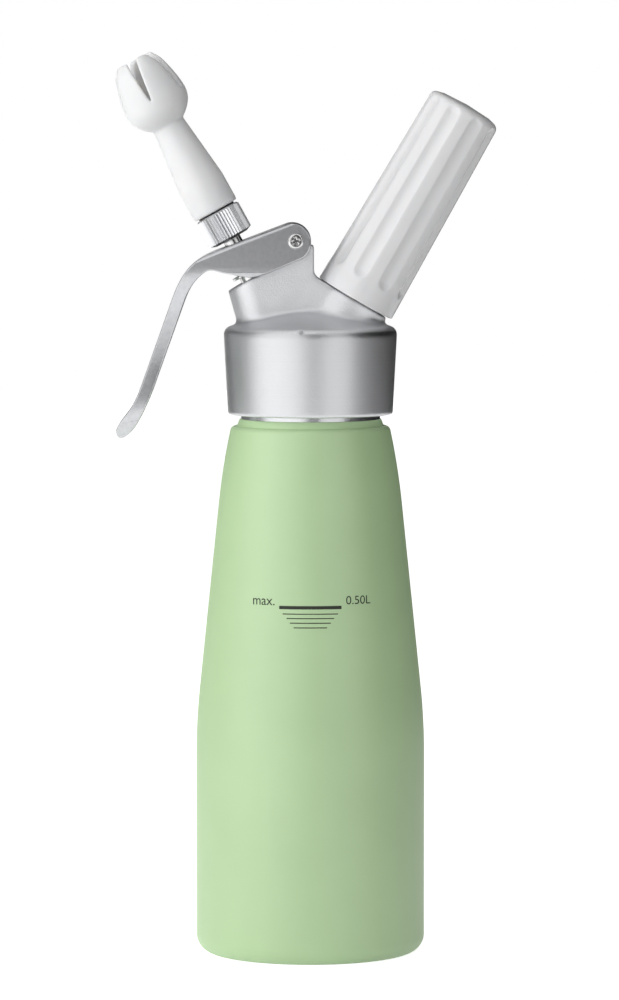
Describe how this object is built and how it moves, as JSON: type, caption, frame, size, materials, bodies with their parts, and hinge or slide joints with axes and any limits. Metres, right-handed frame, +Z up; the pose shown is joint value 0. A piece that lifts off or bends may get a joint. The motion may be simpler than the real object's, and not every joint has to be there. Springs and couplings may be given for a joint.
{
  "type": "whipped cream dispenser",
  "caption": "Whipped cream dispenser with a tapered bottle, a screw-on valve head, a squeeze lever, a fluted nozzle and a screw-on holder for a gas charger.",
  "frame": {"origin": "centre of the bottle's flat foot", "axes": "+Z up along the bottle; the lever hangs and the nozzle leans on the -X side, the charger holder leans to +X, and the pivot screw's cross head faces -Y"},
  "size_m": [0.1327, 0.08, 0.3157],
  "materials": {
    "bottle_paint": "matte",
    "head_metal": "matte",
    "lever_metal": "satin",
    "nut_metal": "satin",
    "stem_steel": "polished",
    "screw_steel": "satin",
    "spring_steel": "satin",
    "port_metal": "satin",
    "charger_steel": "satin",
    "nozzle_plastic": "satin",
    "holder_plastic": "gloss",
    "guide_plastic": "matte",
    "ring_dark": "matte",
    "seal_white": "matte",
    "seal_dark": "matte"
  },
  "bodies": {
    "bottle": {"bottle": "bottle_paint"},
    "gasket_ring": {"head_gasket": "seal_white"},
    "head": {"head": "head_metal", "valve_guide": "guide_plastic", "guide_oring": "seal_dark", "valve_spring": "spring_steel", "charger_port": "port_metal", "piercing_pin": "spring_steel", "charger_gasket": "seal_dark", "inlet_valve": "seal_dark"},
    "lever": {"lever": "lever_metal", "pivot_barrel": "screw_steel", "pivot_screw": "screw_steel"},
    "valve": {"valve_stem": "stem_steel", "press_washer": "stem_steel", "valve_seal": "seal_dark", "seal_retainer": "stem_steel"},
    "stem_seal": {"stem_gasket": "seal_dark"},
    "adapter": {"nozzle_adapter": "nut_metal"},
    "tip_ring": {"adapter_ring": "ring_dark"},
    "tip": {"nozzle": "nozzle_plastic"},
    "charger": {"gas_charger": "charger_steel"},
    "holder": {"charger_holder": "holder_plastic", "holder_insert": "port_metal"}
  },
  "joints": [
    {"name": "head_lift", "type": "slide", "parent": "bottle", "child": "gasket_ring", "axis": [0, 0, 1], "range_m": [0, 0.013]},
    {"name": "head_turn", "type": "hinge", "parent": "gasket_ring", "child": "head", "pos_m": [0, 0, 0.2], "axis": [0, 0, 1], "range_deg": [0, 1560]},
    {"name": "lever_pivot", "type": "hinge", "parent": "head", "child": "lever", "pos_m": [-0.00505, 0, 0.24984], "axis": [0, -1, 0], "range_deg": [0, 8], "stiffness_Nm_per_rad": 0.8, "springref_deg": -17.19},
    {"name": "valve_slide", "type": "slide", "parent": "head", "child": "valve", "axis": [0.4848, 0, -0.8746], "range_m": [0, 0.0027], "deforming": ["valve_spring"]},
    {"name": "adapter_lift", "type": "slide", "parent": "valve", "child": "stem_seal", "axis": [-0.4848, 0, 0.8746], "range_m": [0, 0.007]},
    {"name": "adapter_turn", "type": "hinge", "parent": "stem_seal", "child": "adapter", "pos_m": [-0.028, 0, 0.25136], "axis": [-0.4848, 0, 0.8746], "range_deg": [0, 2520]},
    {"name": "nozzle_lift", "type": "slide", "parent": "adapter", "child": "tip_ring", "axis": [-0.4848, 0, 0.8746], "range_m": [0, 0.00625]},
    {"name": "nozzle_turn", "type": "hinge", "parent": "tip_ring", "child": "tip", "pos_m": [-0.03295, 0, 0.26028], "axis": [-0.4848, 0, 0.8746], "range_deg": [0, 1800]},
    {"name": "charger_lift", "type": "slide", "parent": "head", "child": "charger", "axis": [0.5, 0, 0.866], "range_m": [0, 0.008]},
    {"name": "holder_turn", "type": "hinge", "parent": "charger", "child": "holder", "pos_m": [0.0157, 0, 0.2296], "axis": [0.5, 0, 0.866], "range_deg": [0, 1440]}
  ],
  "couplings": [
    {"joint": "head_lift", "follows": "head_turn", "m_per_rad": 0.00047746},
    {"joint": "valve_slide", "follows": "lever_pivot", "m_per_rad": 0.01934},
    {"joint": "adapter_lift", "follows": "adapter_turn", "m_per_rad": 0.00015915},
    {"joint": "nozzle_lift", "follows": "nozzle_turn", "m_per_rad": 0.00019894},
    {"joint": "charger_lift", "follows": "holder_turn", "m_per_rad": 0.00031831}
  ]
}
